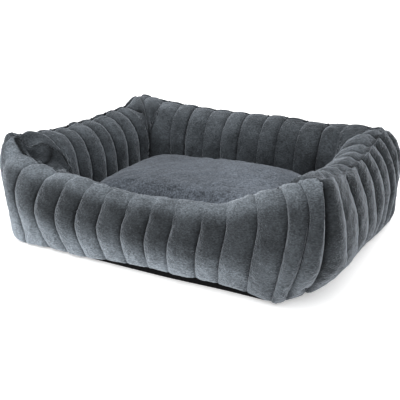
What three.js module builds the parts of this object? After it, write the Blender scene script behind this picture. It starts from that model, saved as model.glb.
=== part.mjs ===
// Rectangular pet cushion bed: four stuffed bolster walls sewn round a padded base, and a loose cushion
// that lies in the sleeping well. Each wall is a ribbed plush cover in two panels, joined by a top seam,
// round a fibre filling. Lengths are in millimetres, +Z is up, +X runs along the longer side, and the
// origin is the centre of the underside.
import * as THREE from "three";

// The top seam of the walls, which is the line that every other outline is stepped out or in from.
const SEAM_HALF_LENGTH = 300;
const SEAM_HALF_WIDTH = 219;
const CORNER_HEIGHT = 204;
const SEAM_DIPS = [67, 28, 21, 21]; // how far the seam sags between its corners: front, right, back, left
const DIP_POWER = 2.4; // above 2 keeps the seam high for longer at the corners

// The bolster walls
const BULGE_OUT = 42; // widest part of a wall, outside the top seam
const BULGE_SHARE = 0.42; // its height, as a share of the wall's height there
const BULGE_FULLNESS = 1.5; // 2 would be an ellipse, 1 a straight slope
const WELL_IN = 75; // flat inner face of a wall, inside the top seam
const SHOULDER_SHARE = 0.5; // height of that flat face, as a share of the wall's height
const SHOULDER_FULLNESS = 2.2;
const PLUSH = 8; // pile and backing together
const PLUSH_EDGE = 12; // height of the outer cover's lower edge, above a band of base cloth

// Corner radii of the outlines
const SEAM_CORNER = 30;
const WELL_CORNER = 25;
const BASE_CORNER = 95;
const BASE_CORNER_SHARE = 0.1; // the base radius holds up to this share of the height

// The base
const BASE_OUT = 20; // edge of the base cloth, outside the top seam
const CLOTH = 2;
const CLOTH_RISE = 14; // height of the cloth's upturned edge
const PAD = 10;
const LINING = 1.5;

// The loose cushion
const CUSHION_CLEARANCE = 4; // to the walls all round
const CUSHION_CORNER = 60;
const CUSHION_RISE = 81;
const CUSHION_SEAM_SHARE = 0.44; // height of the side seam, as a share of the cushion's rise
const CUSHION_COVER = 4;
const DOME = { edge: 3.2, fullness: 0.55 };
const UNDERSIDE = { edge: 6, fullness: 0.5 };

// Fits and mesh
const GAP = 0.3;
const STEPS_ALONG = 14;
const STEPS_UP = 8;
const LOWER_STEPS = 3; // of STEPS_UP, those below the bulge or on the flat inner face
const STEPS_ROUND = 4 * STEPS_ALONG;
const DOME_STEPS = 5;

const PAD_BOTTOM = CLOTH + GAP;
const LINING_BOTTOM = PAD_BOTTOM + PAD + GAP;
const LINING_TOP = LINING_BOTTOM + LINING;
const WALL_BOTTOM = LINING_TOP + GAP;
const LOWER_SHARE = LOWER_STEPS / STEPS_UP;
const QUARTER = Math.PI / 2;
const UP = new THREE.Vector3(0, 0, 1);
const SIDE_NAMES = ["front", "right", "back", "left"];

const FINISHES = {
  plush: { color: 0x596066, roughness: 0.95 },
  filling: { color: 0xf1f1ee, roughness: 1 },
  base: { color: 0x17181a, roughness: 0.9 },
  foam: { color: 0xe6e2d6, roughness: 1 },
  lining: { color: 0x2a2c2f, roughness: 0.95 },
  cushion: { color: 0x6b7279, roughness: 0.95 },
};

const clamp01 = (x) => THREE.MathUtils.clamp(x, 0, 1);
const mix = THREE.MathUtils.lerp;

// Corner radius of the outline that lies `out` outside the top seam, at a share of the wall's height.
function cornerRadius(out, heightShare) {
  const rise = clamp01((heightShare - BASE_CORNER_SHARE) / (1 - BASE_CORNER_SHARE));
  const outerRadius = mix(BASE_CORNER, SEAM_CORNER, rise);
  return mix(WELL_CORNER, outerRadius, clamp01((out + WELL_IN) / (WELL_IN + BULGE_OUT)));
}

// A point of a rounded rectangle's side. `along` is -1 to 1 between the middles of the side's two
// corners, and `trim` is left free at each end.
function sidePoint(side, along, halfLength, halfWidth, radius, trim) {
  const [half, depth] = side % 2 ? [halfWidth, halfLength] : [halfLength, halfWidth];
  const straight = half - radius;
  const run = along * (straight + (radius * QUARTER) / 2 - trim);
  const bend = Math.max(0, Math.abs(run) - straight) / radius;
  const x = Math.sign(run) * (Math.min(Math.abs(run), straight) + radius * Math.sin(bend));
  const y = radius - depth - radius * Math.cos(bend);
  return new THREE.Vector3(x, y, 0).applyAxisAngle(UP, side * QUARTER);
}

function wallPoint(side, along, out, z) {
  const radius = cornerRadius(out, z / wallHeight(side, along));
  const point = sidePoint(side, along, SEAM_HALF_LENGTH + out, SEAM_HALF_WIDTH + out, radius, GAP / 2);
  return point.setZ(z);
}

function wallHeight(side, along) {
  return CORNER_HEIGHT - SEAM_DIPS[side] * (1 - Math.abs(along) ** DIP_POWER);
}

// Faces of a wall's cross-section: each gives [distance outside the top seam, height] for a share of
// the way up the face, on a wall of the given height.
function outerFace(up, height) {
  const bulge = BULGE_SHARE * height;
  if (up < LOWER_SHARE) {
    const rise = up / LOWER_SHARE;
    return [mix(BASE_OUT + GAP, BULGE_OUT, Math.sin(rise * QUARTER)), mix(PLUSH_EDGE, bulge, rise)];
  }
  return shoulder(up, BULGE_OUT, bulge, height, BULGE_FULLNESS);
}

function innerFace(up, height) {
  const flatTop = SHOULDER_SHARE * height;
  if (up < LOWER_SHARE) return [-WELL_IN, mix(WALL_BOTTOM, flatTop, up / LOWER_SHARE)];
  return shoulder(up, -WELL_IN, flatTop, height, SHOULDER_FULLNESS);
}

function shoulder(up, out, start, height, fullness) {
  const turn = ((up - LOWER_SHARE) / (1 - LOWER_SHARE)) * QUARTER;
  const inwards = Math.max(0, Math.cos(turn)) ** (2 / fullness);
  const share = Math.sin(turn) ** (2 / fullness);
  const seamSide = (Math.sign(out) * GAP) / 2;
  return [mix(seamSide, out, inwards), mix(start, height, share)];
}

// The same face, moved into the wall by a depth. It stays on its own side of the top seam, and the
// outer one stays outside the edge of the base.
function inset(face, depth) {
  const step = 1e-4;
  const seamSide = face === outerFace ? 1 : -1;
  return (up, height) => {
    const [out, z] = face(up, height);
    const [out0, z0] = face(Math.max(0, up - step), height);
    const [out1, z1] = face(Math.min(1, up + step), height);
    const length = Math.hypot(out1 - out0, z1 - z0);
    const moved = out - (seamSide * depth * (z1 - z0)) / length;
    const lowered = z + (seamSide * depth * (out1 - out0)) / length;
    const limit = face === outerFace && up < LOWER_SHARE ? BASE_OUT + GAP : GAP / 2;
    return [seamSide * Math.max(seamSide * moved, limit), lowered];
  };
}

// The filling's outer face starts on the base, runs up beside the cover's lower edge and then follows
// the cover, one step behind, so that its top stays blunt.
function fillingOuterFace(up, height) {
  const behind = up - 1 / STEPS_UP;
  if (behind < 0) return [BASE_OUT, WALL_BOTTOM];
  const [out, z] = inset(outerFace, PLUSH + GAP)(behind, height);
  return [behind === 0 ? BASE_OUT : out, z];
}

// Splits the quads of a box's far face along their other diagonal. Both faces then fold the same way
// where they twist round a corner, and nested faces stay parallel.
function matchDiagonals(geometry) {
  const index = geometry.getIndex();
  const { start, count } = geometry.groups[5];
  for (let i = start; i < start + count; i += 6) {
    const [a, b, d, c] = [0, 1, 2, 4].map((k) => index.getX(i + k));
    [a, b, c, a, c, d].forEach((vertex, k) => index.setX(i + k, vertex));
  }
}

// A box bent into a stretch of wall between an inner and an outer face.
function wallGeometry(side, facingWell, facingOut) {
  const geometry = new THREE.BoxGeometry(2, 1, 1, STEPS_ALONG, STEPS_UP, 1);
  const position = geometry.getAttribute("position");
  for (let i = 0; i < position.count; i++) {
    const along = Math.sin(position.getX(i) * QUARTER);
    const up = Math.round((position.getY(i) + 0.5) * STEPS_UP) / STEPS_UP;
    const face = position.getZ(i) > 0 ? facingOut : facingWell;
    const [out, z] = face(up, wallHeight(side, along));
    const point = wallPoint(side, along, out, z);
    position.setXYZ(i, point.x, point.y, point.z);
  }
  matchDiagonals(geometry);
  geometry.computeVertexNormals();
  return geometry;
}

// A turned shape, stretched from round to a rounded rectangle. Each profile point has `inset` from the
// outline's edge, `share` of the way out from the middle (0 is on the axis) and height z.
function roundedGeometry(outline, profile) {
  const points = profile.map(({ share, z }) => new THREE.Vector2(share, z));
  const geometry = new THREE.LatheGeometry(points, STEPS_ROUND);
  const position = geometry.getAttribute("position");
  for (let i = 0; i < position.count; i++) {
    const step = Math.floor(i / profile.length) % STEPS_ROUND;
    const { share, inset: inwards = 0, z } = profile[i % profile.length];
    const side = Math.floor((4 * step) / STEPS_ROUND);
    const along = 2 * ((4 * step) / STEPS_ROUND - side) - 1;
    const point = sidePoint(
      side,
      Math.sin(along * QUARTER),
      outline.halfLength - inwards,
      outline.halfWidth - inwards,
      outline.radius - inwards,
      0,
    );
    position.setXYZ(i, point.x * share, point.y * share, z);
  }
  geometry.computeVertexNormals();
  return geometry;
}

const baseOutline = {
  halfLength: SEAM_HALF_LENGTH + BASE_OUT,
  halfWidth: SEAM_HALF_WIDTH + BASE_OUT,
  radius: cornerRadius(BASE_OUT, 0),
};

const cushionOutline = {
  halfLength: SEAM_HALF_LENGTH - WELL_IN - CUSHION_CLEARANCE,
  halfWidth: SEAM_HALF_WIDTH - WELL_IN - CUSHION_CLEARANCE,
  radius: CUSHION_CORNER,
};

function slab(inwards, bottom, top) {
  return [
    { share: 0, z: bottom },
    { share: 1, inset: inwards, z: bottom },
    { share: 1, inset: inwards, z: top },
    { share: 0, z: top },
  ];
}

function baseClothProfile() {
  return [
    { share: 0, z: 0 },
    { share: 1, z: 0 },
    { share: 1, z: CLOTH_RISE },
    { share: 1, inset: CLOTH, z: CLOTH_RISE },
    { share: 1, inset: CLOTH, z: CLOTH },
    { share: 0, z: CLOTH },
  ];
}

// One face of the cushion, from the middle out to the side seam, `inwards` inside its cover.
function cushionFace(shape, seam, crown, inwards) {
  const face = [];
  for (let i = 0; i <= DOME_STEPS; i++) {
    const share = Math.sin((i / DOME_STEPS) * QUARTER);
    const rise = Math.max(0, 1 - share ** shape.edge) ** shape.fullness;
    face.push({ share, inset: inwards, z: mix(seam, crown, rise) });
  }
  return face;
}

const CUSHION_BOTTOM = WALL_BOTTOM;
const CUSHION_SEAM = CUSHION_BOTTOM + CUSHION_SEAM_SHARE * CUSHION_RISE;
const CUSHION_TOP = CUSHION_BOTTOM + CUSHION_RISE;

// A closed profile between two faces that both run from the middle outwards.
function between(lower, upper) {
  return [...lower, ...upper.reverse()];
}

function cushionTopProfile() {
  const seam = CUSHION_SEAM + GAP / 2;
  const inside = cushionFace(DOME, seam, CUSHION_TOP - CUSHION_COVER, CUSHION_COVER);
  return between(inside, cushionFace(DOME, seam, CUSHION_TOP, 0));
}

function cushionBottomProfile() {
  const seam = CUSHION_SEAM - GAP / 2;
  const inside = cushionFace(UNDERSIDE, seam, CUSHION_BOTTOM + CUSHION_COVER, CUSHION_COVER);
  return between(cushionFace(UNDERSIDE, seam, CUSHION_BOTTOM, 0), inside);
}

function cushionFillingProfile() {
  const inwards = CUSHION_COVER + GAP;
  const upper = cushionFace(DOME, CUSHION_SEAM, CUSHION_TOP - inwards, inwards);
  const lower = cushionFace(UNDERSIDE, CUSHION_SEAM, CUSHION_BOTTOM + inwards, inwards);
  return between(lower.slice(0, -1), upper);
}

function piece(name, geometry, finish) {
  const mesh = new THREE.Mesh(geometry, new THREE.MeshStandardMaterial({ ...FINISHES[finish], metalness: 0 }));
  mesh.name = name;
  return mesh;
}

function wall(side) {
  const group = new THREE.Group();
  const name = SIDE_NAMES[side];
  const outerBack = inset(outerFace, PLUSH);
  const innerBack = inset(innerFace, PLUSH);
  const fillingInnerFace = inset(innerFace, PLUSH + GAP);
  group.add(piece(`outer_panel_${name}`, wallGeometry(side, outerBack, outerFace), "plush"));
  group.add(piece(`inner_panel_${name}`, wallGeometry(side, innerFace, innerBack), "plush"));
  group.add(piece(`bolster_fill_${name}`, wallGeometry(side, fillingInnerFace, fillingOuterFace), "filling"));
  return group;
}

function base() {
  const group = new THREE.Group();
  const inside = CLOTH + GAP;
  group.add(piece("base_cloth", roundedGeometry(baseOutline, baseClothProfile()), "base"));
  const pad = slab(inside, PAD_BOTTOM, PAD_BOTTOM + PAD);
  group.add(piece("base_pad", roundedGeometry(baseOutline, pad), "foam"));
  const lining = slab(inside, LINING_BOTTOM, LINING_TOP);
  group.add(piece("floor_lining", roundedGeometry(baseOutline, lining), "lining"));
  return group;
}

function cushion() {
  const group = new THREE.Group();
  group.add(piece("cushion_top_panel", roundedGeometry(cushionOutline, cushionTopProfile()), "cushion"));
  group.add(piece("cushion_bottom_panel", roundedGeometry(cushionOutline, cushionBottomProfile()), "cushion"));
  group.add(piece("cushion_fill", roundedGeometry(cushionOutline, cushionFillingProfile()), "filling"));
  return group;
}

const bed = new THREE.Group();
bed.name = "pet_cushion_bed";
SIDE_NAMES.forEach((_, side) => bed.add(wall(side)));
bed.add(base(), cushion());

export default bed;
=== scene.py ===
"""Looks of a rectangular pet bed, in metres.

It has ribbed plush walls, a black base and a loose plush cushion.
"""
import math

import bmesh
import bpy
import numpy as np
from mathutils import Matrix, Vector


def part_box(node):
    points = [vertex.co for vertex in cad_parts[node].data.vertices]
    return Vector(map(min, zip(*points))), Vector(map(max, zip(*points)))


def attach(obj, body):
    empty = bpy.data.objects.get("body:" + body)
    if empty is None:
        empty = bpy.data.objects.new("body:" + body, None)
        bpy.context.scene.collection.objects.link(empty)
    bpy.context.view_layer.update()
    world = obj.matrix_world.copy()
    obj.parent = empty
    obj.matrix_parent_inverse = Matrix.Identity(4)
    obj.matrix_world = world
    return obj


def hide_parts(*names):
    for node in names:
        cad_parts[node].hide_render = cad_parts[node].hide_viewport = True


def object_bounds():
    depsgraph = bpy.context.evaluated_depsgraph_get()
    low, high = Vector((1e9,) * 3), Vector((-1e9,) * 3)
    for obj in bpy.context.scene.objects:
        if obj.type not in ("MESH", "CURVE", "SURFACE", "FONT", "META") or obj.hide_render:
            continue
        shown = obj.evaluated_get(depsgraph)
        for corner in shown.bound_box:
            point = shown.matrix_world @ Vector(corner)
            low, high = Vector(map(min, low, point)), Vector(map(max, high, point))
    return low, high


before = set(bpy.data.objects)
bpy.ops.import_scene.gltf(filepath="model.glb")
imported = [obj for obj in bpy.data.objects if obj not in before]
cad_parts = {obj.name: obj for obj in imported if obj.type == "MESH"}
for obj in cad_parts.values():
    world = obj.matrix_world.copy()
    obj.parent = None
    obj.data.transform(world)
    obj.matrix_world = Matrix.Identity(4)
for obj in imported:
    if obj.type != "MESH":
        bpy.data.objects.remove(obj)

bl_info = {
    "name": "Ribbed Plush Pet Bed",
    "version": (1, 0, 0),
    "blender": (4, 5, 0),
    "location": "3D View > Sidebar > Pet Bed",
    "description": "Builds the plush covers, base, fillings and cushion of a rectangular pet bed",
    "category": "Add Mesh",
}

CAD_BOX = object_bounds()
SIDES = ("front", "right", "back", "left")
FRONT, RIGHT, BACK, LEFT = range(4)
QUARTER = math.pi / 2

# The walls' plan and section, as the frame has them
BULGE_OUT = 0.042  # widest part of a wall, outside the top seam
BULGE_SHARE = 0.42  # its height, as a share of the wall's
BULGE_FULLNESS = 1.5
WELL_IN = 0.075  # flat inner face, inside the top seam
SHOULDER_SHARE = 0.5
SHOULDER_FULLNESS = 2.2
SEAM_HALF_LENGTH = CAD_BOX[1][0] - BULGE_OUT
SEAM_HALF_WIDTH = CAD_BOX[1][1] - BULGE_OUT
CORNER_HEIGHT = CAD_BOX[1][2]
SEAM_DIPS = (0.067, 0.028, 0.021, 0.021)  # how much lower each seam is at its middle
DIP_POWER = 2.4
SEAM_CORNER = 0.030
WELL_CORNER = 0.025
BASE_CORNER = 0.095
BASE_CORNER_SHARE = 0.1
BULGE_CORNER = 0.072  # the corners' radius at the widest height
BASE_OUT = 0.020
BASE_FLAT = 0.72  # share of the base cloth's rows that lie flat on the floor
FLOOR_GAP = 0.0008  # the covers stay this far above the floor
FLOOR_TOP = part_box("floor_lining")[1][2]
CUSHION_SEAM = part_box("cushion_top_panel")[0][2]
LINING_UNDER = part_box("floor_lining")[0][2]
CLOTH_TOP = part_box("base_pad")[0][2]

# How the covers are sewn
FOOT_OUT = BASE_OUT + 0.0095  # crest of an outer rib at its lower end
FOOT_TUCK = 0.0085
CORNER_DRAWN_IN = 0.0265  # how far the foot is drawn in at the front right corner
SEAM_TUCK = 0.0050
MITRE_TUCK = 0.0090
SHOULDER_PUFF = 0.0035
SEAM_ROLL = 0.012
SEAM_ROUND = 0.012  # how far from a seam the cloth has risen to its full height
CREST_ROUND = 0.05  # how far from the top seam uneven ribs are all there
COVER_THICKNESS = 0.002
RIB_ROUNDNESS = 2.2  # 2 is a round section across a rib, and more is flatter
OUTER_ROUNDNESS = 2.1
RIB_COLUMNS = 22
COVER_ROWS = 108
FILLING_CUTS = 27
LOWER = 0.375  # share of the way up a face that lies below its bulge or shoulder

# One value for each wall, in the order of SIDES
SEAM_SHIFTS = (-0.022, 0.0, 0.009, 0.007)  # which way its seam has rolled off the ridge
SEAM_SCALLOPS = (0.0025, 0.003, 0.0045, 0.003)  # how far the seam dips between two ribs
SHOULDER_CHANGES = (-0.8, 0.3, 0.0, 0.2)  # squareness of the shoulder, against the usual
FOOT_ARCHES = (  # middle, half length and height of the arch under the outer cover
    (0.22, 0.46, 0.011),
    (0.2, 0.5, 0.006),
    (0.0, 0.55, 0.009),
    (0.0, 0.5, 0.008),
)
INNER_STARTS = (0.02, 0.012, 0.0, 0.016)  # the stitched line nearest the middle
INNER_TIGHTNESS = (0.7, 0.8, 0.35, 0.8)  # the loosest stitching into the well
INNER_PAINTED_SHADES = (0.0, 0.1, 0.34, 0.0)  # painted shade: how much darker one end of the inner cover is painted
MIDDLE_PAINTED_SHADES = (0.39, 0.34, 0.7, 0.7)  # painted shade: how light the outer pile is painted at half height

# The hollow at the front left corner: its depth, and its place in shares along and up a wall
POCKET_DEPTH = 0.018
POCKET_MIDDLE, POCKET_WIDTH = 0.03, 0.05
POCKET_UP, POCKET_TALL = 0.90, 0.07

# The fold low at the front right corner: its place in shares, then metres
FOLD_ALONG, FOLD_UP = 0.955, 0.10
FOLD_DEPTH = 0.008
FOLD_RADIUS = 0.010
FOLD_WIDTH = 0.0028

# The cushion, and the view down at the bed from the right of its front
CUSHION_CROWN = 0.014
CUSHION_SQUARENESS = 7.0
CUSHION_PRESSURE = 4.0
CUSHION_CAP = 0.009
CLOTH_STIFFNESS = 12
CAMERA_LENS = 54.7
CAMERA_PLACE = (0.5325, -1.0214, 0.4733)
CAMERA_DOWN, CAMERA_ROUND = 0.3501, 0.4895


class PetBedSizes(bpy.types.PropertyGroup):
    """Sizes of the sewing and filling that can be changed in the panel"""

    outer_pitch: bpy.props.FloatProperty(
        name="Outer rib pitch", description="Width of one rib on the outer covers",
        default=0.0482, unit="LENGTH",
    )
    inner_pitch: bpy.props.FloatProperty(
        name="Inner rib pitch", description="Width of one rib on the inner covers",
        default=0.0435, unit="LENGTH",
    )
    groove_depth: bpy.props.FloatProperty(
        name="Groove depth", description="How far the stitching pulls a groove below the crests",
        default=0.0130, unit="LENGTH",
    )
    pile: bpy.props.FloatProperty(
        name="Pile clumps", description="Height of the clumps in the pile",
        default=0.00028, unit="LENGTH",
    )
    cushion_inset: bpy.props.FloatProperty(
        name="Cushion inset", description="How much smaller the cushion is before it is filled",
        default=0.004, unit="LENGTH",
    )


class PetBedColours(bpy.types.PropertyGroup):
    """Colours of the cloths and the filling"""

    walls: bpy.props.FloatVectorProperty(
        name="Wall plush", description="Middle colour of the walls' plush",
        default=(0.0575, 0.0655, 0.0735), subtype="COLOR", size=3,
    )
    cushion: bpy.props.FloatVectorProperty(
        name="Cushion plush", description="Middle colour of the cushion's plush",
        default=(0.074, 0.085, 0.101), subtype="COLOR", size=3,
    )
    base: bpy.props.FloatVectorProperty(
        name="Base cloth", description="Colour of the non-slip cloth",
        default=(0.003, 0.003, 0.0035), subtype="COLOR", size=3,
    )
    filling: bpy.props.FloatVectorProperty(
        name="Filling", description="Colour of the polyester fibre",
        default=(0.82, 0.82, 0.80), subtype="COLOR", size=3,
    )


def sizes():
    return bpy.context.scene.pet_bed_sizes


def colours():
    return bpy.context.scene.pet_bed_colours


# ---------------------------------------------------------------- shape helpers


def mix(a, b, share):
    return a + (b - a) * share


def ease(low, high, value):
    """0 below low, 1 above high, and smooth between."""
    t = np.clip((value - low) / (high - low), 0.0, 1.0)
    return t * t * (3 - 2 * t)


def hump(value, middle, width, power=2):
    """1 at the middle, falling smoothly to 0 on both sides."""
    return np.exp(-(((value - middle) / width) ** power))


def rumple(points, wavelength, seed, waves=18):
    """A smooth field of about unit size and wavelength, always the same for the same seed."""
    rng = np.random.default_rng(seed)
    directions = rng.normal(size=(waves, points.shape[1]))
    directions /= np.linalg.norm(directions, axis=1, keepdims=True)
    numbers = directions * (2 * math.pi / wavelength) * rng.uniform(0.7, 1.4, (waves, 1))
    phases = rng.uniform(0, 2 * math.pi, waves)
    total = np.zeros(len(points))
    for number, phase in zip(numbers, phases):
        total += np.sin(points @ number + phase)
    return total * math.sqrt(2 / waves)


def corner_radius(out, height_share):
    """Radius of the plan's corners, which are tightest along the top seam and in the well."""
    rise = np.clip((height_share - BASE_CORNER_SHARE) / (1 - BASE_CORNER_SHARE), 0, 1)
    outer = mix(BASE_CORNER, SEAM_CORNER, rise)
    return mix(WELL_CORNER, outer, np.clip((out + WELL_IN) / (WELL_IN + BULGE_OUT), 0, 1))


def wall_height(side, along):
    """Height of the frame's top seam: full at the corners, lower at the middle of each side."""
    return CORNER_HEIGHT - SEAM_DIPS[side] * (1 - np.abs(along) ** DIP_POWER)


def half_run(side, out, radius):
    """Length of a side's outline from its middle to the middle of a corner."""
    half = (SEAM_HALF_WIDTH if side % 2 else SEAM_HALF_LENGTH) + out
    return half - radius + radius * QUARTER / 2


def wall_point(side, along, out, z):
    """Points of a wall, by the share along it, distance outside the top seam and height."""
    radius = corner_radius(out, z / wall_height(side, along))
    half, depth = SEAM_HALF_LENGTH + out, SEAM_HALF_WIDTH + out
    if side % 2:
        half, depth = depth, half
    run = along * half_run(side, out, radius)
    bend = np.maximum(0, np.abs(run) - (half - radius)) / radius
    x = np.sign(run) * (np.minimum(np.abs(run), half - radius) + radius * np.sin(bend))
    y = radius - depth - radius * np.cos(bend)
    c, s = round(math.cos(side * QUARTER)), round(math.sin(side * QUARTER))
    return np.stack([x * c - y * s, x * s + y * c, z + 0 * x], -1)


def ridge_lift(side, along):
    """How far the soft ridge stands above the frame's seam line, or has sunk below it."""
    if side == BACK:
        falling = 0.010 * ease(0.25, 0.6, -along) + 0.011 * ease(0.7, 1.0, -along)
        return 0.005 - 0.002 * ease(0.6, 1.0, along) - falling
    if side == LEFT:
        dip = 0.006 * hump(along, -0.78, 0.2) * ease(-1.0, -0.9, along)
        ends = 0.004 * ease(0.85, 1.0, -along) - 0.005 * ease(0.88, 1.0, along)
        return ends - 0.001 - dip
    if side == RIGHT:
        return 0.003 - 0.019 * ease(0.75, 1.0, along)
    left = 1 - ease(-0.75, -0.45, along)
    hollow = 1 - ease(-0.97, -0.78, along)
    ear = 1 - ease(-1.0, -0.965, along)
    right = 0.012 * ease(0.5, 0.75, along) - 0.004 * ease(0.85, 1.0, along)
    dent = 0.004 * hump(along, 0.47, 0.08)
    return -0.005 - 0.016 * left - 0.012 * hollow + 0.027 * ear + right - dent


def foot_pull(side, along):
    """The foot is drawn in at the front right corner, and sags outwards at the front left."""
    if side == FRONT:
        sag = hump(along, -0.8, 0.16) * ease(-1.0, -0.92, along)
        bow = hump(along, -0.1, 0.5, 4)
        spread = 0.005 * (1 - ease(-1.0, -0.85, along))
        return CORNER_DRAWN_IN * ease(0.76, 1.0, along) - 0.007 * sag - 0.006 * bow - spread
    if side == RIGHT:
        fade = np.clip((along + 0.8) / 1.8, 0, 1)
        swell = 0.009 * ease(0.0, 0.45, along) * (1 - ease(0.85, 1.0, along))
        drawn_in = CORNER_DRAWN_IN + 0.012 * ease(-1.0, -0.8, along)
        return drawn_in * (1 - fade) ** 2 - swell
    if side == LEFT:
        sag = hump(along, 0.7, 0.22) * (1 - ease(0.9, 1.0, along))
        return -0.007 * sag - 0.005 * ease(0.85, 1.0, along)
    return 0 * along


def front_left(side, along):
    """1 at the front left corner, fading to 0 along both of its walls."""
    towards = {FRONT: -along, LEFT: along}.get(side)
    return 0 * along if towards is None else ease(0.55, 1.0, towards)


def bulge_out(side, along):
    """The front left corner is slimmer than the rest."""
    return BULGE_OUT - 0.009 * front_left(side, along)


def fullness(side, along):
    """Walls are rounder towards their corners, most of all at the front left."""
    return BULGE_FULLNESS + 0.25 * ease(0.6, 1.0, np.abs(along)) + 0.45 * front_left(side, along)


def foot_height(side, along):
    """Height of an outer cover's lower edge: it lifts off the floor at the middle of each side."""
    middle, width, lift = FOOT_ARCHES[side]
    return 0.0015 + lift * hump(along, middle, width, 4)


def inner_fullness(side, along):
    """How square the shoulder into the well is: soft on the front wall, alike at the mitres."""
    fading = ease(0.86 if side == FRONT else 0.6, 1.0, np.abs(along))
    return SHOULDER_FULLNESS + SHOULDER_CHANGES[side] * (1 - fading)


def seam_roll(side, along):
    """How far the front wall's ridge has rolled over, so that its seam faces the well."""
    return (SEAM_ROLL if side == FRONT else 0.0) * ease(0.0, 0.12, 1 - np.abs(along))


def outer_face(side, along, up):
    """Section of the outer cover: from the foot out to the bulge, and over to the seam."""
    height = wall_height(side, along) + ridge_lift(side, along)
    bulge = BULGE_SHARE * height
    widest = bulge_out(side, along)
    rise = np.clip(up / LOWER, 0, 1)
    low_out = mix(FOOT_OUT - foot_pull(side, along), widest, np.sin(rise * QUARTER))
    low_z = mix(foot_height(side, along), bulge, rise)
    turn = np.clip((up - LOWER) / (1 - LOWER), 0, 1) * QUARTER
    squareness = fullness(side, along)
    climb = np.sin(turn) ** (2 / squareness)
    high_out = widest * (1 - climb ** (squareness + 0.4)) ** (1 / (squareness - 0.2))
    high_z = mix(bulge, height, climb) - seam_roll(side, along) * ease(0.88, 1.0, up)
    below = up < LOWER
    return np.where(below, low_out, high_out), np.where(below, low_z, high_z)


def inner_face(side, along, up):
    """Section of the inner cover: straight up out of the well, and over its shoulder."""
    height = wall_height(side, along) + ridge_lift(side, along)
    top = SHOULDER_SHARE * height
    low_z = mix(FLOOR_TOP + 0.0006, top, np.clip(up / LOWER, 0, 1))
    turn = np.clip((up - LOWER) / (1 - LOWER), 0, 1) * QUARTER
    bend = 2 / inner_fullness(side, along)
    high_out = -WELL_IN * np.maximum(0, np.cos(turn)) ** bend
    sunk = ease(0.6, 1.0, up) + 0.5 * ease(0.45, 0.75, up) * (1 - ease(0.82, 1.0, up))
    high_z = mix(top, height, np.sin(turn) ** bend) - seam_roll(side, along) * sunk
    below = up < LOWER
    return np.where(below, -WELL_IN, high_out), np.where(below, low_z, high_z)


# ---------------------------------------------------------------- ribs


def outer_grooves(side):
    """Shares along the side where the outer cover is stitched, from corner to corner."""
    if side == FRONT:
        middle = 0.032 + 0.1475 * np.arange(-4, 6)
        middle += 0.012 * ease(0.4, 0.8, middle)
        return np.concatenate([[-1.0, -0.87, -0.71], middle, [0.875, 1.0]])
    if side == RIGHT:
        rib = np.arange(8)
        narrowing = -0.735 + 0.305 * rib - 0.012 * rib**2
        return np.concatenate([[-1.0], narrowing, [1.0]])
    pitch = sizes().outer_pitch / half_run(side, BULGE_OUT, BULGE_CORNER)
    count = round(2 / pitch)
    lines = np.linspace(-1, 1, count + 1)
    shift = 0.12 * (2 / count) * np.sin(lines * 41 + side)
    return lines + shift * (np.abs(lines) < 0.99)


def inner_reach(side, up):
    """Half the length of the inner cover at that share of its height, out to the mitres."""
    out, z = inner_face(side, np.ones_like(up), up)
    height = CORNER_HEIGHT + ridge_lift(side, np.ones_like(up))
    return half_run(side, out, corner_radius(out, z / height))


def inner_grooves(side):
    """Distances from the side's middle, in metres, where the inner cover is stitched."""
    pitch = sizes().inner_pitch
    edge = float(inner_reach(side, np.ones(1))[0])
    lines = INNER_STARTS[side] + pitch * np.arange(-9, 10)
    lines = lines + 0.07 * pitch * np.sin(lines * 90 + side)
    lines = lines[np.abs(lines) < edge - 0.4 * pitch]
    return np.concatenate([[-edge], lines, [edge]])


def rib_rise(position, lines, roundness):
    """0 on the stitched lines, 1 along the crest of each rib."""
    index = np.clip(np.searchsorted(lines, position), 1, len(lines) - 1)
    low, high = lines[index - 1], lines[index]
    across = np.clip((position - low) / (high - low), 0, 1)
    return np.maximum(0, 1 - np.abs(2 * across - 1) ** roundness) ** 0.7


def end_rise(distance, length):
    """0 on a seam, 1 from that length away on, rounded like a cushion's edge."""
    t = np.clip(distance / length, 0, 1)
    return np.sqrt(np.maximum(0, 1 - (1 - t) ** 2))


def seam_zigzag(side, along):
    """The top seam is pushed towards the well by outer ribs and outwards by inner ones."""
    outer = rib_rise(along, outer_grooves(side), RIB_ROUNDNESS)
    run = along * half_run(side, 0, SEAM_CORNER)
    inner = rib_rise(run, inner_grooves(side), RIB_ROUNDNESS)
    loose = ease(0.0, 0.08, 1 - np.abs(along))
    return (0.0045 * (inner - outer) + SEAM_SHIFTS[side]) * loose


def seam_drop(side, along):
    """How far the shared top seam lies below the ridge, lowest between two ribs."""
    scallop = SEAM_SCALLOPS[side] * (1 - rib_rise(along, outer_grooves(side), RIB_ROUNDNESS))
    return (SEAM_TUCK + scallop) * mix(0.4, 1.0, ease(0, 0.1, 1 - np.abs(along)))


def columns(x, lines):
    """Positions and rib numbers of the grid's columns, which crowd round each stitched line."""
    ribs = len(lines) - 1
    column = np.clip((x + 1) / 2 * ribs, 0, ribs)
    rib = np.minimum(column.astype(int), ribs - 1)
    t = column - rib
    across = mix(t, (1 - np.cos(math.pi * t)) / 2, 0.75)
    return mix(lines[rib], lines[rib + 1], across), rib


def on_wall(face, side, along, up):
    """Points on a wall's outer or inner face, with the seam's zigzag worked in near the top."""
    out, z = face(side, along, up)
    return wall_point(side, along, out + seam_zigzag(side, along) * ease(0.8, 1.0, up), z)


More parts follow.
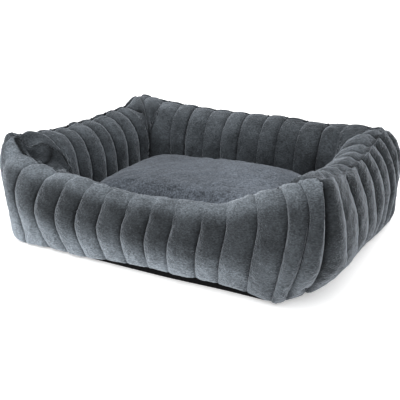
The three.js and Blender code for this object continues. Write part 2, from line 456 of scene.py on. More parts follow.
def foot_sweep(side, position, up):
    """The front ribs lean: their feet and their tops both lie to the right of their middles."""
    if side != FRONT:
        return 0 * position
    share = outer_face(side, position, up)[1] / wall_height(side, position)
    left = 1 - ease(-0.9, -0.2, position)
    low = mix(0.06, 0.12, left) * ease(-1.0, -0.8, position) * (1 - ease(-0.1, 0.8, position))
    high = 0.05 * ease(-1.0, -0.8, position) * (1 - ease(0.93, 1.0, position))
    return low * (1 - ease(-0.2, 0.8, share)) ** 1.5 + high * ease(0.3, 1.1, share)


def stitch_pull(lines, position, rib, low, seed):
    """How tightly each groove is drawn: 1 is tight, and the end seams always are."""
    pulls = np.random.default_rng(seed).uniform(low, 1.0, len(lines))
    pulls[0] = 1.0
    pulls[-1] = 1.0
    nearer_high = position - lines[rib] > lines[rib + 1] - position
    return pulls[rib + nearer_high]


def outer_fade(side, position, up):
    """How much the outer grooves fade out under the top seam, where the front wall is softest."""
    corner = 1 - ease(0, 0.02, 1 - np.abs(position))
    if side != FRONT:
        return (0.4 + 0.3 * corner) * ease(0.78, 0.96, up)
    middle = mix(0.84, 0.45, ease(0.5, 0.75, np.abs(position + 0.05)))
    return mix(middle, 0.7, corner) * ease(0.60, 0.87, up)


def lay_outer(side, x, up):
    """An outer cover's points before stuffing, and how far each is raised or drawn in."""
    lines = outer_grooves(side)
    position, rib = columns(x, lines)
    free = ease(0.0, 0.1, 1 - np.abs(position)) * ease(0, 0.15, 1 - up)
    along = position + 0.006 * free * rumple(np.stack([position * 4, up], -1), 1.6, 11 + side, 6)
    along = along + foot_sweep(side, position, up)
    height = wall_height(side, along)
    width = (lines[rib + 1] - lines[rib]) * half_run(side, BULGE_OUT, BULGE_CORNER)
    rise = rib_rise(position, lines, OUTER_ROUNDNESS)
    rise = 1 - (1 - rise) * stitch_pull(lines, position, rib, 0.8, 330 + side)
    to_seam = (1 - up) * height
    groove = np.minimum(sizes().groove_depth, 0.3 * width) * (1 - rise)
    fade = outer_fade(side, position, up)
    groove = groove * (1 - fade)
    seam_tuck = SEAM_TUCK
    if side == FRONT:
        slack = 0.4 * (1 - ease(0.0, 0.3, up))
        groove = groove * (1 - 0.5 * slack)
        rise = mix(mix(rise, 1.0, fade), 1.0, slack)
        seam_tuck = 0.5 * SEAM_TUCK
    corner = 1 - ease(0, 0.02, 1 - np.abs(position))
    at_seam = seam_tuck * (1 - end_rise(to_seam, SEAM_ROUND)) * (1 - 0.6 * corner)
    at_foot = FOOT_TUCK * (1 - end_rise(up * height, 0.026))
    fold = corner_fold(side, along, up)
    tuck = (groove**3 + at_seam**3 + at_foot**3) ** (1 / 3) + FOLD_DEPTH * fold
    crest = np.random.default_rng(300 + side).normal(0, 0.0011, len(lines))[rib]
    crest = crest * rise * end_rise(to_seam, CREST_ROUND)
    # Painted shade: the groove mask is also darkened inside the fold.
    rise = rise * (1 - 0.85 * fold)
    points = on_wall(outer_face, side, along, up)
    return points, along, crest - tuck, rise, to_seam, 1 - np.abs(position)


def corner_fold(side, along, up):
    """A hooked tuck low on the front cover, beside the front right corner."""
    if side != FRONT:
        return 0 * up
    run = (along - FOLD_ALONG) * 0.32
    rise = (up - FOLD_UP) * 0.2
    hook = np.hypot(run + 0.004, rise + 0.001)
    facing = ease(-0.006, 0.004, run + 0.4 * rise)
    return hump(hook, FOLD_RADIUS, FOLD_WIDTH) * facing


def lay_inner(side, x, up01):
    """An inner cover's points before stuffing; its rows start on the mitres near the corners."""
    lines = inner_grooves(side)
    run, rib = columns(-x, lines)
    levels = np.linspace(0, 1, 400)
    reach = np.maximum.accumulate(inner_reach(side, levels))
    start = np.interp(np.abs(run), reach, levels)
    start = np.where(np.abs(run) <= reach[0], 0.0, start)
    up = mix(start, 1.0, up01)
    along = np.clip(run / inner_reach(side, up), -1, 1)
    on_mitre = (np.abs(run) > reach[0]) & (up01 < 1e-6)
    along = np.where(on_mitre, np.sign(run), along)
    height = wall_height(side, along)
    rise = rib_rise(run, lines, RIB_ROUNDNESS)
    rise = 1 - (1 - rise) * stitch_pull(lines, run, rib, INNER_TIGHTNESS[side], 430 + side)
    to_seam = (1 - up) * height
    to_mitre = (1 - np.abs(along)) * inner_reach(side, up)
    groove = 0.85 * sizes().groove_depth * (1 - rise)
    groove = groove * (1 - 0.4 * ease(0.82, 1.0, up)) * ease(0, SEAM_ROUND, to_mitre)
    at_seam = SEAM_TUCK * (1 - end_rise(to_seam, SEAM_ROUND))
    at_mitre = MITRE_TUCK * (1 - end_rise(to_mitre, 0.016)) * (1 - 0.6 * ease(0.86, 1.0, up))
    tuck = (groove**3 + at_seam**3 + at_mitre**3) ** (1 / 3) + pocket(side, along, up)
    crest = np.random.default_rng(400 + side).normal(0, 0.0009, len(lines))[rib]
    crest = crest * rise * end_rise(to_seam, CREST_ROUND) * end_rise(to_mitre, 0.02)
    # Painted shade: the groove mask darkens towards the mitres.
    rise = rise * end_rise(to_mitre, SEAM_ROUND)
    points = on_wall(inner_face, side, along, up)
    return points, along, crest - tuck, rise, to_seam, to_mitre / 0.3


def pocket(side, along, up):
    """A pinched hollow in the front left mitre."""
    towards = {FRONT: 1 + along, LEFT: 1 - along}.get(side)
    if towards is None:
        return 0 * up
    middle = hump(towards, POCKET_MIDDLE, POCKET_WIDTH)
    return POCKET_DEPTH * middle * hump(up, POCKET_UP, POCKET_TALL)


def lumps(points, seed):
    """Uneven stuffing, wrinkles and clumps of pile, in metres."""
    soft = 0.0007 * rumple(points, 0.085, seed) + 0.0003 * rumple(points, 0.022, seed + 1)
    creases = 0.0001 * rumple(points * np.array([0.5, 0.5, 2.2]), 0.016, seed + 3)
    nap_and_painted_light = sizes().pile * rumple(points * np.array([1.0, 1.0, 1.5]), 0.0065, seed + 2, 28)
    return soft + creases + nap_and_painted_light


# ---------------------------------------------------------------- meshes


def new_object(name, bm):
    mesh = bpy.data.meshes.new(name)
    bm.to_mesh(mesh)
    bm.free()
    piece = bpy.data.objects.new(name, mesh)
    bpy.context.scene.collection.objects.link(piece)
    return piece


def coordinates(piece):
    co = np.empty(len(piece.data.vertices) * 3, np.float64)
    piece.data.vertices.foreach_get("co", co)
    return co.reshape(-1, 3)


def set_coordinates(piece, co):
    piece.data.vertices.foreach_set("co", np.ascontiguousarray(co, np.float32).ravel())
    piece.data.update()


def set_attribute(piece, name, values):
    attribute = piece.data.attributes.new(name, "FLOAT", "POINT")
    attribute.data.foreach_set("value", np.ascontiguousarray(values, np.float32))


def smooth(piece):
    piece.data.polygons.foreach_set("use_smooth", [True] * len(piece.data.polygons))


def normals_of(piece):
    normals = np.empty(len(piece.data.vertices) * 3, np.float32)
    piece.data.vertex_normals.foreach_get("vector", normals)
    return normals.reshape(-1, 3).astype(np.float64)


def flatten_on_mitre(normals, side, along, to_mitre):
    """Near a corner both covers move in its upright plane, so that their edges stay together."""
    for end in (-1, 1):
        angle = side * QUARTER + end * QUARTER / 2
        across = np.array([math.cos(angle), math.sin(angle), 0.0])
        held = (1 - ease(0, 0.09, to_mitre)) * (along * end > 0)
        part = normals - (held * (normals @ across))[:, None] * across
        normals = part / np.maximum(np.linalg.norm(part, axis=1, keepdims=True), 1e-9)
    return normals


def patches_and_painted_light(side, along, y, outside, points):
    """Painted light and shade on the pile, over random patches of tone: outside it is palest at
    the foot and darkest half-way up.
    """
    up = (y + 1) / 2
    patches = 1 + 0.08 * rumple(points, 0.06, 500 + side, 12)
    if not outside:
        # Painted light and shade inside: lighter towards the top, and one end painted darker.
        painted_end_shade = 1 - INNER_PAINTED_SHADES[side] * ease(-0.2, 0.5, -along)
        return patches * mix(0.9, 1.05, up) * painted_end_shade
    # Painted light and shade outside: lightest at the foot, darkest half-way up, with a painted
    # highlight along the ridge.
    foot = 0.81 if side == RIGHT else 2.61
    ridge = 0.5 * ease(0.84, 1.0, up)
    if side == FRONT:
        foot = 2.61 - 1.52 * ease(0.3, 0.9, along)
        ridge = 1.35 * ease(0.70, 0.9, up) + 0.1 * ease(0.5, 0.9, along)
    # Painted light: lighter at the front left corner, most of all low down.
    corner = 0.75 * front_left(side, along) * (1 - 0.7 * ease(0.5, 0.9, up))
    return (mix(foot, MIDDLE_PAINTED_SHADES[side], ease(0.02, 0.58, up)) + ridge + corner) * patches


def cover(name, side, lay, ribs, seed):
    """One ribbed cover: a fine grid laid over the wall and drawn down at its stitching."""
    bm = bmesh.new()
    bmesh.ops.create_grid(bm, x_segments=ribs * RIB_COLUMNS, y_segments=COVER_ROWS, size=1)
    piece = new_object(name, bm)
    flat = coordinates(piece)
    points, along, raised, rise, to_seam, to_mitre = lay(side, flat[:, 0], (flat[:, 1] + 1) / 2)
    set_coordinates(piece, points)
    normals = flatten_on_mitre(normals_of(piece), side, along, to_mitre)
    free = ease(0, SEAM_ROUND, to_seam)
    loose = free * ease(0, 0.04, to_mitre)
    reach = to_seam / 0.018
    raised = raised + SHOULDER_PUFF * reach * np.exp(1 - reach) * loose
    raised = raised + lumps(points, seed) * loose
    points = points + normals * (raised * free)[:, None]
    points[:, 2] -= seam_drop(side, along) * (1 - free)
    points[:, 2] = np.maximum(points[:, 2], FLOOR_GAP)
    set_coordinates(piece, points)
    # Painted shade: the rib attribute is 0 down in the grooves, along the top seam, at the mitres
    # and in the fold, and the material darkens the pile there.
    set_attribute(piece, "rib", rise * ease(0, 0.008, to_seam))
    # Painted light and shade, over random patches of tone, multiplied into the pile's colour.
    set_attribute(piece, "nap_and_painted_light", patches_and_painted_light(side, along, flat[:, 1], lay is lay_outer, points))
    merge(piece)
    smooth(piece)
    modify(piece, "SOLIDIFY", thickness=COVER_THICKNESS, offset=-1)
    return piece


def filling(name, side):
    """The fibre inside one wall, well inside both covers."""
    bm = bmesh.new()
    bmesh.ops.create_cube(bm, size=2)
    bmesh.ops.subdivide_edges(bm, edges=bm.edges[:], cuts=FILLING_CUTS, use_grid_fill=True)
    piece = new_object(name, bm)
    flat = coordinates(piece)
    along = np.sin(flat[:, 0] * QUARTER) * 0.95
    up = mix(0.08, 0.74, (flat[:, 2] + 1) / 2)
    outer_out, outer_z = outer_face(side, along, up)
    inner_out, inner_z = inner_face(side, along, up)
    share = (1 - flat[:, 1]) / 2
    out = mix(inner_out + 0.017 + pocket(side, along, up), outer_out - 0.019, share)
    z = mix(inner_z, outer_z, share) - 0.012 * ease(0.1, 0.4, up)
    points = wall_point(side, along, out, np.maximum(z, FLOOR_TOP + 0.001))
    sway = [rumple(points, 0.03, seed + side) for seed in (71, 81)]
    points[:, :2] += 0.0008 * np.stack(sway, -1)
    set_coordinates(piece, points)
    smooth(piece)
    return piece


# ---------------------------------------------------------------- base


def ring_point(turn, out_change, inward, z):
    """Points over the base, by their place round the outline (0 to 4) and share of the way out."""
    side = np.minimum(turn.astype(int), 3)
    points = np.zeros((len(turn), 3))
    for k in range(4):
        here = side == k
        along = 2 * (turn[here] - k) - 1
        out = BASE_OUT - 0.002 - foot_pull(k, along) + out_change[here]
        points[here] = wall_point(k, along, out, 0.0)
    points *= inward[:, None]
    points[:, 2] = z
    return points


def dish(name, rows, profile, segments=288):
    """A tray or slab: profile gives its change of outline, share of the way out and height."""
    bm = bmesh.new()
    bmesh.ops.create_grid(bm, x_segments=segments, y_segments=rows, size=1)
    piece = new_object(name, bm)
    flat = coordinates(piece)
    out_change, inward, z = profile((flat[:, 1] + 1) / 2)
    set_coordinates(piece, ring_point((flat[:, 0] + 1) * 2, out_change, inward, z))
    merge(piece)
    smooth(piece)
    return piece


def merge(piece):
    bm = bmesh.new()
    bm.from_mesh(piece.data)
    bmesh.ops.remove_doubles(bm, verts=bm.verts[:], dist=1e-5)
    bm.to_mesh(piece.data)
    bm.free()


def base_profile(v):
    """Flat underneath, then a small turn and an upright band."""
    inward = ease(0, 0.001, v) * np.clip(v / BASE_FLAT, 0, 1)
    band = np.clip((v - BASE_FLAT) / (1 - BASE_FLAT), 0, 1)
    out_change = -0.004 * (1 - np.sin(np.clip(band * 4, 0, 1) * QUARTER)) - 0.002 * band
    z = 0.0002 + 0.024 * np.maximum(0, band - 0.04)
    return out_change, inward, z


def pad_profile(v):
    """A closed slab with rounded edges, from the centre below to the centre above."""
    angle = (2 * v - 1) * QUARTER
    inward = np.clip(1.02 * np.cos(angle) ** 0.2, 0, 1) * (np.abs(2 * v - 1) < 0.9999)
    middle = (CLOTH_TOP + LINING_UNDER) / 2
    half = (LINING_UNDER - CLOTH_TOP) / 2 - 0.0003
    z = middle + half * np.sign(np.sin(angle)) * np.abs(np.sin(angle)) ** 0.35
    return -0.008 + 0 * v, inward, z


def lining_profile(v):
    """A flat sheet that runs a little way in under the walls."""
    return -0.009 + 0 * v, np.clip(v, 0, 1), FLOOR_TOP - 0.0003 + 0 * v


# ---------------------------------------------------------------- cushion


def cushion_shape(name, inset):
    """A closed pillow in the frame's cushion space, before it is filled."""
    low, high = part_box("cushion_bottom_panel")[0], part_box("cushion_top_panel")[1]
    half = (high - low) / 2
    bm = bmesh.new()
    bmesh.ops.create_uvsphere(bm, u_segments=96, v_segments=64, radius=1)
    piece = new_object(name, bm)
    ball = coordinates(piece)
    angle = np.arctan2(ball[:, 1], ball[:, 0])
    share = np.clip(np.hypot(ball[:, 0], ball[:, 1]), 0, 1)
    power = CUSHION_SQUARENESS
    to_end = np.abs(np.cos(angle) / (half[0] - inset)) ** power
    to_side = np.abs(np.sin(angle) / (half[1] - inset)) ** power
    spread = share**0.6
    reach = spread * (to_end + to_side) ** (-1 / power)
    x, y = reach * np.cos(angle), reach * np.sin(angle)
    crown = CUSHION_CROWN * hump(x, 0.08, 0.18) * hump(y, 0.08, 0.16) * (1 - spread**6)
    top = mix(CUSHION_SEAM, high[2] + 0.004, np.maximum(0, 1 - spread**6.5) ** 0.45) + crown
    bottom = mix(CUSHION_SEAM, low[2] + 0.001, np.maximum(0, 1 - spread**6) ** 0.5)
    set_coordinates(piece, np.stack([x, y, np.where(ball[:, 2] >= 0, top, bottom)], -1))
    return piece


def modify(piece, kind, **settings):
    """Adds one modifier with its settings."""
    modifier = piece.modifiers.new(kind.title(), kind)
    for key, value in settings.items():
        setattr(modifier, key, value)
    return modifier


def apply_modifiers(piece):
    """Turns what the modifiers make into the piece's own mesh."""
    bpy.context.view_layer.update()
    graph = bpy.context.evaluated_depsgraph_get()
    mesh = bpy.data.meshes.new_from_object(piece.evaluated_get(graph))
    piece.modifiers.clear()
    old = piece.data
    piece.data = mesh
    bpy.data.meshes.remove(old)
    mesh.name = piece.name


def inflate(piece, pressure, cap, frames=20):
    """Fills a closed pillow by cloth simulation, and limits how far each point moves."""
    rest = coordinates(piece)
    cloth = modify(piece, "CLOTH")
    cloth.settings.quality = 5
    cloth.settings.mass = 0.3
    cloth.settings.tension_stiffness = CLOTH_STIFFNESS
    cloth.settings.compression_stiffness = CLOTH_STIFFNESS
    cloth.settings.bending_stiffness = 0.4
    cloth.settings.use_pressure = True
    cloth.settings.uniform_pressure_force = pressure
    cloth.settings.effector_weights.gravity = 0
    scene = bpy.context.scene
    for number in range(1, frames + 1):
        scene.frame_set(number)
    apply_modifiers(piece)
    moved = coordinates(piece) - rest
    distance = np.linalg.norm(moved, axis=1, keepdims=True)
    set_coordinates(piece, rest + moved * np.minimum(1, cap / np.maximum(distance, 1e-9)))
    scene.frame_set(1)


def fit_in_space(piece, low, high):
    """Flattens what the filling pushed past the floor or the ends of the cushion's space."""
    co = coordinates(piece)
    margin = 0.03
    for axis in range(2):
        limit = high[axis] + 0.002
        over = np.abs(co[:, axis]) / limit
        squeezed = 1 - margin + margin * np.tanh((over - 1 + margin) / margin)
        over = np.where(over > 1 - margin, squeezed, over)
        co[:, axis] = np.sign(co[:, axis]) * limit * over
    co[:, 2] = np.maximum(co[:, 2], low[2])
    set_coordinates(piece, co)


def filled_cushion():
    """The whole pillow, blown up and then given its ripples and pile."""
    piece = cushion_shape("cushion_shape", sizes().cushion_inset)
    modify(piece, "REMESH", mode="VOXEL", voxel_size=0.0045)
    apply_modifiers(piece)
    inflate(piece, CUSHION_PRESSURE, CUSHION_CAP)
    fit_in_space(piece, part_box("cushion_bottom_panel")[0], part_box("cushion_top_panel")[1])
    modify(piece, "SUBSURF", levels=1, render_levels=1)
    apply_modifiers(piece)
    points = coordinates(piece)
    x, y, z = points.T
    turned = np.stack([x + 0.6 * y, 1.5 * (y - 0.6 * x), z], -1)
    ripple = 0.0004 * rumple(turned, 0.06, 91) + 0.0009 * rumple(points, 0.11, 93, 10)
    ripple += 0.0002 * rumple(points, 0.011, 92, 28)
    ripple *= ease(FLOOR_TOP, FLOOR_TOP + 0.02, z)
    pull = 0.0035 * hump(z, CUSHION_SEAM, 0.004)
    set_coordinates(piece, points + normals_of(piece) * (ripple - pull)[:, None])
    return piece


def cushion_half(whole, name, keep_top):
    """One panel of the cushion's cover, cut along its seam."""
    bm = bmesh.new()
    bm.from_mesh(whole.data)
    geometry = bm.verts[:] + bm.edges[:] + bm.faces[:]
    plane = {"plane_co": (0, 0, CUSHION_SEAM), "plane_no": (0, 0, 1), "dist": 1e-6}
    cut = {"clear_inner": keep_top, "clear_outer": not keep_top}
    bmesh.ops.bisect_plane(bm, geom=geometry, **plane, **cut)
    piece = new_object(name, bm)
    # Painted light: the cushion's cover is painted lighter towards its right end.
    set_attribute(piece, "nap_and_painted_light", mix(0.93, 1.28, ease(-0.12, 0.24, coordinates(piece)[:, 0])))
    smooth(piece)
    modify(piece, "SOLIDIFY", thickness=0.0015, offset=-1)
    return piece


def cushion_stuffing(whole):
    """The fibre inside the cushion, a little smaller than its cover."""
    bm = bmesh.new()
    bm.from_mesh(whole.data)
    piece = new_object("cushion_stuffing", bm)
    set_coordinates(piece, coordinates(piece) - normals_of(piece) * 0.007)
    modify(piece, "REMESH", mode="VOXEL", voxel_size=0.008)
    apply_modifiers(piece)
    smooth(piece)
    return piece


# ---------------------------------------------------------------- shader helpers


class Value:
    """A shader socket in Python arithmetic: each operator adds a Math node."""

    def __init__(self, recipe, socket):
        self.recipe = recipe
        self.socket = socket

    def math(self, operation, first, second):
        return self.recipe.node("ShaderNodeMath", {"operation": operation}, {0: first, 1: second})

    def __add__(self, other):
        return self.math("ADD", self, other)

    def __mul__(self, other):
        return self.math("MULTIPLY", self, other)


class Recipe:
    """A material's node tree, with one method that adds a node."""

    def __init__(self, name):
        self.material = bpy.data.materials.new(name)
        self.material.use_nodes = True
        self.tree = self.material.node_tree
        self.tree.nodes.clear()

    def node(self, kind, settings=None, inputs=None, output=0):
        node = self.tree.nodes.new(kind)
        for key, value in (settings or {}).items():
            if key == "stops":
                set_stops(node.color_ramp, value)
            else:
                setattr(node, key, value)
        for key, value in (inputs or {}).items():
            if isinstance(value, Value):
                self.tree.links.new(value.socket, node.inputs[key])
            else:
                node.inputs[key].default_value = value
        return Value(self, node.outputs[output])

    def noise(self, coords, scale, detail, roughness=0.5, distortion=0.0):
        inputs = {"Vector": coords, "Scale": scale, "Detail": detail}
        inputs.update({"Roughness": roughness, "Distortion": distortion})
        return self.node("ShaderNodeTexNoise", {}, inputs, "Fac")

    def attribute(self, name):
        return self.node("ShaderNodeAttribute", {"attribute_name": name}, {}, "Fac")

    def tinted(self, colour, tint):
        settings = {"data_type": "RGBA", "blend_type": "MULTIPLY"}
        inputs = {"Factor": 1.0, "A": colour, "B": tint}
        return self.node("ShaderNodeMix", settings, inputs, "Result")

    def ramp(self, factor, stops):
        return self.node("ShaderNodeValToRGB", {"stops": stops}, {"Fac": factor}, "Color")

    def stretched(self, scale=(1, 1, 1)):
        coords = self.node("ShaderNodeTexCoord", output="Object")
        return self.node("ShaderNodeMapping", {}, {"Vector": coords, "Scale": scale})

    def bump(self, height, strength, distance, normal=None):
        inputs = {"Height": height, "Strength": strength, "Distance": distance}
        if normal is not None:
            inputs["Normal"] = normal
        return self.node("ShaderNodeBump", {}, inputs, "Normal")

    def finish(self, **inputs):
        named = {key.replace("_", " "): value for key, value in inputs.items()}
        shader = self.node("ShaderNodeBsdfPrincipled", {}, named, "BSDF")
        output = self.tree.nodes.new("ShaderNodeOutputMaterial")
        self.tree.links.new(shader.socket, output.inputs["Surface"])
        return self.material


def set_stops(ramp, stops):
    """Gives a colour ramp its places and colours."""
    while len(ramp.elements) > 1:
        ramp.elements.remove(ramp.elements[-1])
    for index, (place, colour) in enumerate(stops):
        element = ramp.elements[0] if index == 0 else ramp.elements.new(place)
        element.position = place
        element.color = (*colour, 1)


def shades(colour, *stops):
    """Stops of a ramp from places and the amounts of one colour there."""
    return [(place, tuple(min(1.0, part * amount) for part in colour)) for place, amount in stops]


# ---------------------------------------------------------------- materials


def ribbed_plush():
    """Dense short pile: clumped tone, with painted shade down in the grooves and at the seams,
    painted light and shade from the cover's attribute, and a soft sheen.
    """
    recipe = Recipe("wall_plush")
    colour = colours().walls
    plain = recipe.stretched()
    brushed = recipe.stretched((1, 1, 2.2))
    speckle = recipe.noise(brushed, 300, 2, 0.6)
    fibres = recipe.noise(brushed, 900, 2, 0.6)
    clumps = recipe.noise(plain, 95, 3, 0.55, 0.3)
    shadow = recipe.noise(plain, 17, 2, 0.5)
    tone = speckle * 0.48 + fibres * 0.18 + clumps * 0.16 + shadow * 0.18
    nap_and_painted_light = recipe.ramp(tone, shades(colour, (0.40, 0.45), (0.5, 1.0), (0.60, 1.7)))
    # Painted shade: the pile is darkened to 0.13 of its colour down in the grooves.
    groove_shade_stops = shades((1.0, 1.0, 1.0), (0.0, 0.13), (0.25, 0.45), (0.5, 0.85), (0.85, 1.0))
    groove_shaded = recipe.tinted(nap_and_painted_light, recipe.ramp(recipe.attribute("rib"), groove_shade_stops))
    coarse = recipe.bump(clumps * 0.4 + speckle * 0.6, 0.7, 0.0032)
    bump = recipe.bump(fibres, 0.5, 0.0012, coarse)
    return recipe.finish(
        # Painted light and shade from the cover's attribute multiplies the pile's colour.
        Base_Color=recipe.tinted(groove_shaded, recipe.attribute("nap_and_painted_light")),
        Roughness=clumps * 0.2 + 0.78,
        Normal=bump,
        Sheen_Weight=0.75,
        Sheen_Roughness=0.28,
        Sheen_Tint=(0.84, 0.91, 1.0, 1.0),
        Specular_IOR_Level=0.12,
    )


def cushion_plush():
    """The same pile in a paler shade, more mottled and without ribs."""
    recipe = Recipe("cushion_plush")
    plain = recipe.stretched()
    speckle = recipe.noise(plain, 330, 2, 0.6)
    fibres = recipe.noise(plain, 950, 2, 0.6)
    clumps = recipe.noise(plain, 80, 3, 0.55, 0.6)
    broad = recipe.noise(plain, 8, 2, 0.5)
    tone = speckle * 0.5 + fibres * 0.2 + clumps * 0.14 + broad * 0.16
    nap_and_painted_light = recipe.ramp(tone, shades(colours().cushion, (0.41, 0.4), (0.5, 1.0), (0.60, 1.85)))
    coarse = recipe.bump(clumps * 0.4 + speckle * 0.6, 0.4, 0.003)
    bump = recipe.bump(fibres, 0.5, 0.0012, coarse)
    return recipe.finish(
        # Painted light from the cushion's attribute multiplies the pile's colour.
        Base_Color=recipe.tinted(nap_and_painted_light, recipe.attribute("nap_and_painted_light")),
        Roughness=clumps * 0.2 + 0.76,
        Normal=bump,
        Sheen_Weight=0.35,
        Sheen_Roughness=0.35,
        Sheen_Tint=(0.86, 0.92, 1.0, 1.0),
        Specular_IOR_Level=0.12,
    )


def woven(name, colour, scale):
    """Plain-woven cloth, a little worn."""
    recipe = Recipe(name)
    threads = {"Vector": recipe.stretched((scale, scale, scale)), "Scale": 1.0}
    warp = recipe.node("ShaderNodeTexWave", {"bands_direction": "X"}, threads, "Fac")
    weft = recipe.node("ShaderNodeTexWave", {"bands_direction": "Y"}, threads, "Fac")
    worn = recipe.noise(recipe.stretched(), 30, 4)
    weave = warp * weft * 0.7 + worn * 0.3
    cloth = recipe.ramp(weave, shades(colour, (0.1, 0.6), (0.8, 1.7)))
    return recipe.finish(
        Base_Color=cloth,
        Roughness=worn * 0.15 + 0.8,
        Normal=recipe.bump(weave, 0.5, 0.0006),
        Specular_IOR_Level=0.08,
    )


def fibre(name, colour):
    """Loose fibre or foam: short strands gathered in tufts."""
    recipe = Recipe(name)
    strands = recipe.noise(recipe.stretched((1, 1, 2.5)), 160, 6, 0.7, 2.0)
    tufts = recipe.noise(recipe.stretched(), 35, 4, 0.6)
    tone = recipe.ramp(strands * 0.5 + tufts * 0.5, shades(colour, (0.3, 0.8), (0.65, 1.0)))
    return recipe.finish(
        Base_Color=tone,
        Roughness=tufts * 0.1 + 0.88,
        Normal=recipe.bump(strands, 0.8, 0.003),
        Sheen_Weight=0.2,
    )


def paint(piece, material):
    piece.data.materials.clear()
    piece.data.materials.append(material)


# ---------------------------------------------------------------- operators


class PETBED_OT_covers(bpy.types.Operator):
    """Builds the ribbed outer and inner covers of the four walls"""

    bl_idname = "petbed.covers"
    bl_label = "Wall Covers"

    def execute(self, context):
        plush = ribbed_plush()
        for side, name in enumerate(SIDES):
            for kind, lay, lines, seed in (
                ("outer", lay_outer, outer_grooves, 100),
                ("inner", lay_inner, inner_grooves, 110),
            ):
                ribs = len(lines(side)) - 1
                piece = cover(f"{kind}_cover_{name}", side, lay, ribs, seed + 20 * side)
                paint(piece, plush)
                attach(piece, "bed")
                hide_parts(f"{kind}_panel_{name}")
        return {"FINISHED"}


class PETBED_OT_fillings(bpy.types.Operator):
    """Builds the fibre fillings inside the walls"""

    bl_idname = "petbed.fillings"
    bl_label = "Wall Fillings"

    def execute(self, context):
        white = fibre("wall_fibre", colours().filling)
        for side, name in enumerate(SIDES):
            piece = filling(f"wall_filling_{name}", side)
            paint(piece, white)
            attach(piece, "bed")
            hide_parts(f"bolster_fill_{name}")
        return {"FINISHED"}


class PETBED_OT_base(bpy.types.Operator):
    """Builds the non-slip base cloth, the pad on it and the lining of the well's floor"""

    bl_idname = "petbed.base"
    bl_label = "Base"

    def execute(self, context):
        cloth = dish("base_underside", 72, base_profile)
        modify(cloth, "SOLIDIFY", thickness=0.0012, offset=-1)
        paint(cloth, woven("non_slip_cloth", colours().base, 900))
        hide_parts("base_cloth")
        pad = dish("base_padding", 60, pad_profile)
        paint(pad, fibre("pad_foam", (0.78, 0.76, 0.68)))
        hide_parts("base_pad")
        lining = dish("well_lining", 60, lining_profile)
        modify(lining, "SOLIDIFY", thickness=0.0008, offset=0)
        paint(lining, woven("floor_lining", (0.03, 0.032, 0.035), 700))
        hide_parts("floor_lining")
        for piece in (cloth, pad, lining):
            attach(piece, "bed")
        return {"FINISHED"}


class PETBED_OT_cushion(bpy.types.Operator):
    """Builds the loose cushion, filled by cloth simulation"""

    bl_idname = "petbed.cushion"
    bl_label = "Cushion"

    def execute(self, context):
        whole = filled_cushion()
        plush = cushion_plush()
        for name, node, top in (
            ("cushion_top", "cushion_top_panel", True),
            ("cushion_underside", "cushion_bottom_panel", False),
        ):
            piece = cushion_half(whole, name, top)
            paint(piece, plush)
            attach(piece, "cushion")
            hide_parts(node)
        stuffing = cushion_stuffing(whole)
        paint(stuffing, fibre("cushion_fibre", colours().filling))
        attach(stuffing, "cushion")
        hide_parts("cushion_fill")
        bpy.data.objects.remove(whole)
        return {"FINISHED"}


class PETBED_OT_studio(bpy.types.Operator):
    """Adds the floor, the soft lights and the camera"""

    bl_idname = "petbed.studio"
    bl_label = "Studio"

    def execute(self, context):
        add_floor()
        add_lights()
        add_camera()
        return {"FINISHED"}


def add_floor():
    """A plain pale floor that runs out of the picture."""
    bm = bmesh.new()
    bmesh.ops.create_grid(bm, x_segments=1, y_segments=1, size=60)
    floor = new_object("studio_floor", bm)
    recipe = Recipe("studio_floor")
    patches = recipe.noise(recipe.stretched(), 2, 2)
    tone = recipe.ramp(patches, shades((1.0, 1.0, 1.0), (0.0, 0.92), (1.0, 0.95)))
    glow = {"Emission_Color": (1.0, 1.0, 1.0, 1.0), "Emission_Strength": 0.36}
    paint(floor, recipe.finish(Base_Color=tone, Roughness=0.9, **glow))


def add_area(name, place, target, size, power):
    """A rectangular soft light at a place, turned towards its target."""
    light = bpy.data.lights.new(name, "AREA")
    light.shape = "RECTANGLE"
    light.size, light.size_y = size
    light.energy = power
    lamp = bpy.data.objects.new(name, light)
    bpy.context.scene.collection.objects.link(lamp)
    x, y, z = np.array(target) - np.array(place)
    lamp.location = place
    lamp.rotation_euler = (math.atan2(math.hypot(x, y), -z), 0, math.atan2(-x, y))


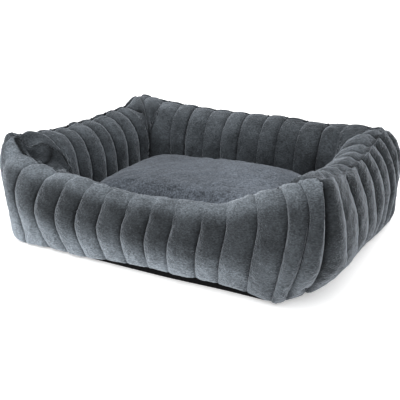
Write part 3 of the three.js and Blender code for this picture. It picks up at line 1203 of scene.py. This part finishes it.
def add_lights():
    """Even light from all round, a wide softbox overhead and a long low one in front."""
    world = bpy.data.worlds.new("studio")
    world.use_nodes = True
    background = world.node_tree.nodes["Background"]
    background.inputs["Color"].default_value = (1, 1, 1, 1)
    background.inputs["Strength"].default_value = 0.62
    bpy.context.scene.world = world
    sun = bpy.data.lights.new("overhead_softbox", "SUN")
    sun.energy = 2.9
    sun.angle = math.radians(110)
    lamp = bpy.data.objects.new("overhead_softbox", sun)
    bpy.context.scene.collection.objects.link(lamp)
    lamp.rotation_euler = (math.radians(4), math.radians(-2), 0)
    add_area("low_front_softbox", (-0.8, -1.5, 0.12), (-0.15, -0.2, 0.05), (2.0, 0.22), 20)


def add_camera():
    """A camera to the right of the front, looking down at the bed."""
    camera = bpy.data.cameras.new("camera")
    camera.lens = CAMERA_LENS
    camera.sensor_width = 36
    holder = bpy.data.objects.new("camera", camera)
    bpy.context.scene.collection.objects.link(holder)
    holder.location = CAMERA_PLACE
    holder.rotation_euler = (QUARTER - CAMERA_DOWN, 0, CAMERA_ROUND)
    bpy.context.scene.camera = holder
    bpy.context.scene.view_settings.view_transform = "Standard"


class PETBED_PT_panel(bpy.types.Panel):
    """Buttons and sizes of the pet bed"""

    bl_idname = "PETBED_PT_panel"
    bl_label = "Pet Bed"
    bl_space_type = "VIEW_3D"
    bl_region_type = "UI"
    bl_category = "Pet Bed"

    def draw(self, context):
        for group in (context.scene.pet_bed_sizes, context.scene.pet_bed_colours):
            for key in group.__annotations__:
                self.layout.prop(group, key)
        for operator in OPERATORS:
            self.layout.operator(operator.bl_idname)


OPERATORS = (
    PETBED_OT_covers,
    PETBED_OT_fillings,
    PETBED_OT_base,
    PETBED_OT_cushion,
    PETBED_OT_studio,
)
CLASSES = (PetBedSizes, PetBedColours, *OPERATORS, PETBED_PT_panel)


def register():
    for item in CLASSES:
        bpy.utils.register_class(item)
    bpy.types.Scene.pet_bed_sizes = bpy.props.PointerProperty(type=PetBedSizes)
    bpy.types.Scene.pet_bed_colours = bpy.props.PointerProperty(type=PetBedColours)


def unregister():
    del bpy.types.Scene.pet_bed_colours
    del bpy.types.Scene.pet_bed_sizes
    for item in reversed(CLASSES):
        bpy.utils.unregister_class(item)


def main():
    register()
    bpy.ops.petbed.studio()
    bpy.ops.petbed.covers()
    bpy.ops.petbed.fillings()
    bpy.ops.petbed.base()
    bpy.ops.petbed.cushion()


if __name__ == "__main__":
    main()
